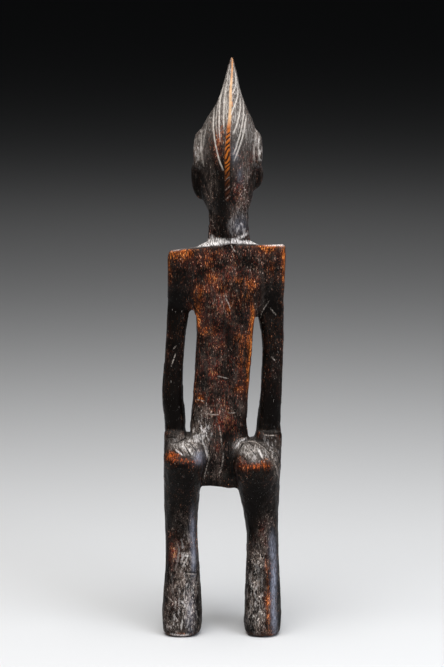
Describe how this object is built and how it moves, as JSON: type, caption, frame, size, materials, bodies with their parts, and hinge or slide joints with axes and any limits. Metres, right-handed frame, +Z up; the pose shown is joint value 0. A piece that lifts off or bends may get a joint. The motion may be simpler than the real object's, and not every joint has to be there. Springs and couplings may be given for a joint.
{
  "type": "bambara figure",
  "caption": "Standing carved wooden figure with a tall pointed crest, flat back, hanging arms, shelf-like buttocks and short bent legs; a display piece.",
  "frame": {"origin": "middle of the figure's bounding box, on the plane its soles stand on", "axes": "+Z up to the crest, -Y the way the figure faces, +X its left side"},
  "size_m": [0.1068, 0.0854, 0.4999],
  "materials": {
    "wood": "dark oiled patina, semi-gloss, worn to orange-brown on its edges"
  },
  "bodies": {
    "root": {"figure": "wood"}
  },
  "joints": []
}
